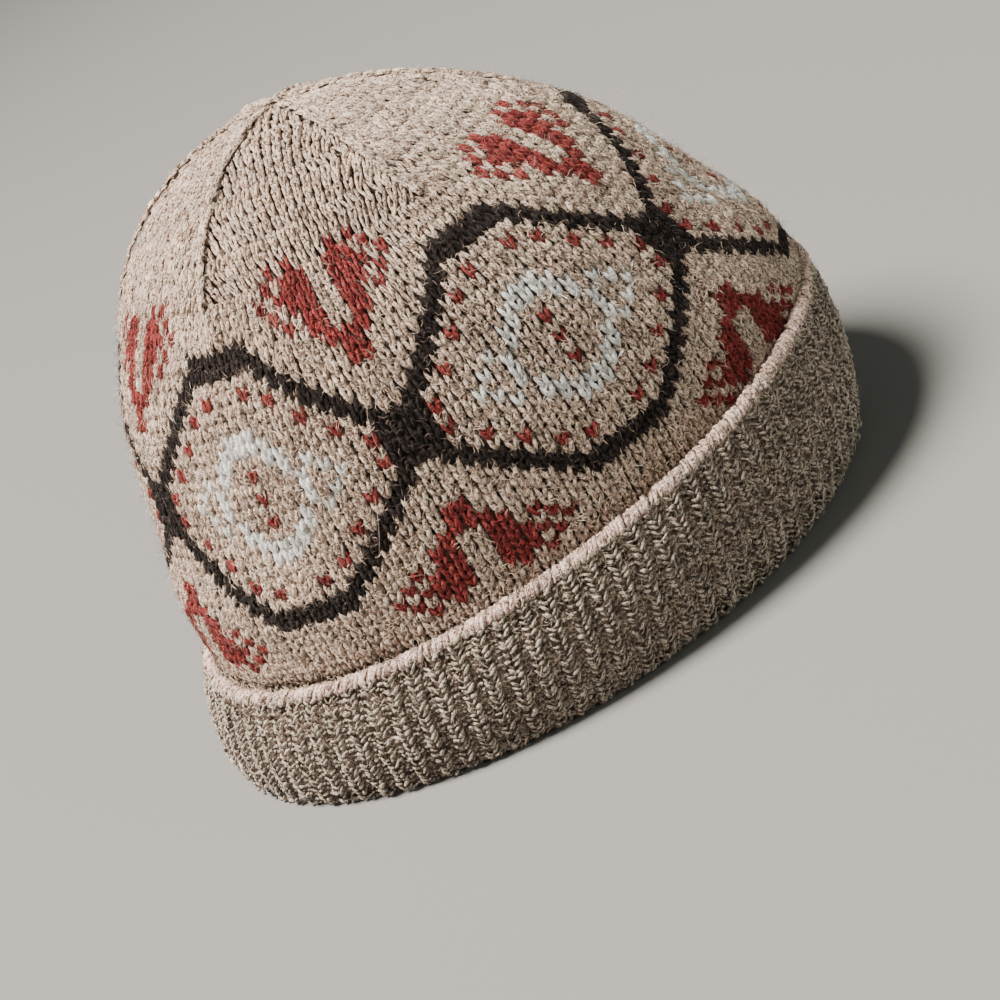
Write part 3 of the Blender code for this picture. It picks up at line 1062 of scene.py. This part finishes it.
def fibrePiece(name, sets):
    points = np.concatenate([places for places, _ in sets])
    colours = np.concatenate([colours for _, colours in sets])
    start = (np.arange(len(points)) * 5)[:, None]
    faces = [start + np.array([[0, 1, 3, 2]]), start + np.array([[2, 3, 4]])]
    return makePiece(name, points.reshape(-1, 3), faces, fibreMaterial,
                     {"hairColour": withAlpha(np.repeat(colours, 5, 0))})


def crownHalo():
    dice = np.random.default_rng(31)
    sets = []
    for kind in halo["crown"]:
        count = kind["count"]
        around = dice.uniform(0, 1, count)
        row = mix(chart["lowestRow"], topRow() + 0.5, 1 - np.sqrt(dice.uniform(0.02, 1, count)))
        row = np.where(dice.uniform(0, 1, count) < 0.72,
                       dice.uniform(chart["lowestRow"], chart["lastPatternRow"], count), row)
        visible = knitFace(around, row)[:, 2] > innerTop(angleAt(around)) + 2 * knit["clearance"]
        around, row = around[visible], row[visible]
        colours = brightness(dice, crownColours(around, row))
        sets.append((hairs(knitFace, around, row, kind, dice), colours))
    return fibrePiece("crownHalo", sets)


def cuffHalo():
    dice = np.random.default_rng(32)
    sets = []
    for kind in halo["cuff"]:
        count = kind["count"]
        around = dice.uniform(0, 1, count)
        down = dice.uniform(0, kind["reach"], count) * cuffTop(angleAt(around))
        colours = brightness(dice, np.repeat([hairColours["oatmeal"]], count, 0) * kind["paintedLightTone"])
        sets.append((hairs(cuffFace, around, down, kind, dice), colours))
    return fibrePiece("cuffHalo", sets)


def strayFibres():
    # long hairs that have worked loose, each one an open curve
    dice = np.random.default_rng(33)
    count, stations, sides = stray["count"], stray["stations"], stray["sides"]
    around = dice.uniform(0, 1, count)
    row = dice.uniform(-10, topRow() - 6, count)
    onCuff = (np.arange(count) % 3 == 0)[:, None]
    down = dice.uniform(0.05, 0.9, count) * cuffTop(angleAt(around))
    frames = zip(frameAt(cuffFace, around, down), frameAt(knitFace, around, row))
    point, across, wale, normal = [np.where(onCuff, ofCuff, ofCrown) for ofCuff, ofCrown in frames]
    normal = np.where(onCuff, -normal, normal)
    turn = dice.uniform(0, 2 * math.pi, (count, 1))
    flat = across * np.cos(turn) + wale * np.sin(turn)
    first = unit(flat + normal * dice.uniform(0.25, 0.9, (count, 1)))
    bend = np.cross(first, normal) * dice.normal(0, 0.5, (count, 1))
    bend = bend - normal * dice.uniform(0.3, 0.8, (count, 1))
    length = dice.uniform(*stray["length"], (count, 1, 1))
    share = np.linspace(0, 1, stations)[None, :, None]
    path = point[:, None] + first[:, None] * length * share + bend[:, None] * length * share ** 2
    half = stray["halfWide"] * np.repeat([np.linspace(1.0, 0.5, stations)], count, 0)
    rings = strandRings(path, np.repeat(normal[:, None], stations, 1), half, half, sides)
    colours = np.array([hairColours["oatmeal"] if pale else hairColours["darkBrown"]
                        for pale in dice.uniform(0, 1, count) < stray["paleShare"]])
    return makePiece("strayFibres", rings.reshape(-1, 3), [strandFaces(count, stations, sides)],
                     fibreMaterial, {"hairColour": withAlpha(np.repeat(colours, stations * sides, 0))})


crownFibres = [crownHalo(), strayFibres()]
cuffFibres = [cuffHalo()]

for piece in bodyPieces + [wallPieces[0]]:
    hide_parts("crown")
for piece in cuffPieces + [wallPieces[1]]:
    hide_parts("cuff")

# floor, light and camera

studio = {
    "floorColour": (0.225, 0.222, 0.216),
    "floorHalf": 6.0,
    "worldColour": (0.86, 0.85, 0.80),
    "worldStrength": 0.13,
    "aim": (0.0, 0.0, 0.07),
}
lights = {
    "keyLight": {"place": (-1.60, -0.23, 3.51), "size": 1.5, "power": 560.0, "colour": (1.0, 0.93, 0.86)},
    "fillLight": {"place": (1.1, -0.9, 0.5), "size": 1.0, "power": 6.5, "colour": (0.86, 0.95, 0.86)},
}
view = {
    "place": (-0.0035, -0.5570, 0.2741),
    "elevation": 23.86,  # degrees down to the hat
    "roll": 31.73,  # the picture is turned, so the hat leans in it
    "lens": 73.6,
    "sensor": 36.0,
}


def makeFloor():
    half = studio["floorHalf"]
    material, tree, baseColour = plainMaterial("paleFloor", 0.85, 0.1)
    level = noise(tree, addNode(tree, "TexCoord").outputs["Object"], 1.4)
    pale = [value * 1.03 for value in studio["floorColour"]]
    tree.links.new(mixColour(tree, level, (*studio["floorColour"], 1), (*pale, 1)), baseColour)
    corners = [(-half, -half, 0), (half, -half, 0), (half, half, 0), (-half, half, 0)]
    mesh = bpy.data.meshes.new("floor")
    mesh.from_pydata(corners, [], [(0, 1, 2, 3)])
    mesh.materials.append(material)
    floor = addObject("floor", mesh)


def addLight(name, look):
    light = bpy.data.lights.new(name, "AREA")
    light.shape = "DISK"
    light.size = look["size"]
    light.energy = look["power"]
    light.color = look["colour"]
    lamp = addObject(name, light)
    lamp.location = look["place"]
    toward = Vector(studio["aim"]) - Vector(look["place"])
    lamp.rotation_euler = toward.to_track_quat("-Z", "Y").to_euler()


def makeWorld():
    world = bpy.data.worlds.new("softRoom")
    world.use_nodes = True
    background = world.node_tree.nodes["Background"]
    background.inputs["Color"].default_value = (*studio["worldColour"], 1)
    background.inputs["Strength"].default_value = studio["worldStrength"]
    bpy.context.scene.world = world


def makeCamera():
    tilt, roll = math.radians(view["elevation"]), math.radians(view["roll"])
    right = np.array([1.0, 0.0, 0.0])
    upward = np.array([0.0, math.sin(tilt), math.cos(tilt)])
    back = np.array([0.0, -math.cos(tilt), math.sin(tilt)])
    sideways = math.cos(roll) * right - math.sin(roll) * upward
    above = math.sin(roll) * right + math.cos(roll) * upward
    lens = bpy.data.cameras.new("camera")
    lens.lens = view["lens"]
    lens.sensor_width = view["sensor"]
    camera = addObject("camera", lens)
    rows = [[*row, place] for row, place in zip(np.stack([sideways, above, back], 1), view["place"])]
    camera.matrix_world = Matrix(rows + [[0, 0, 0, 1]])
    bpy.context.scene.camera = camera


makeFloor()
for name, look in lights.items():
    addLight(name, look)
makeWorld()
makeCamera()
print("floor, light and camera made")
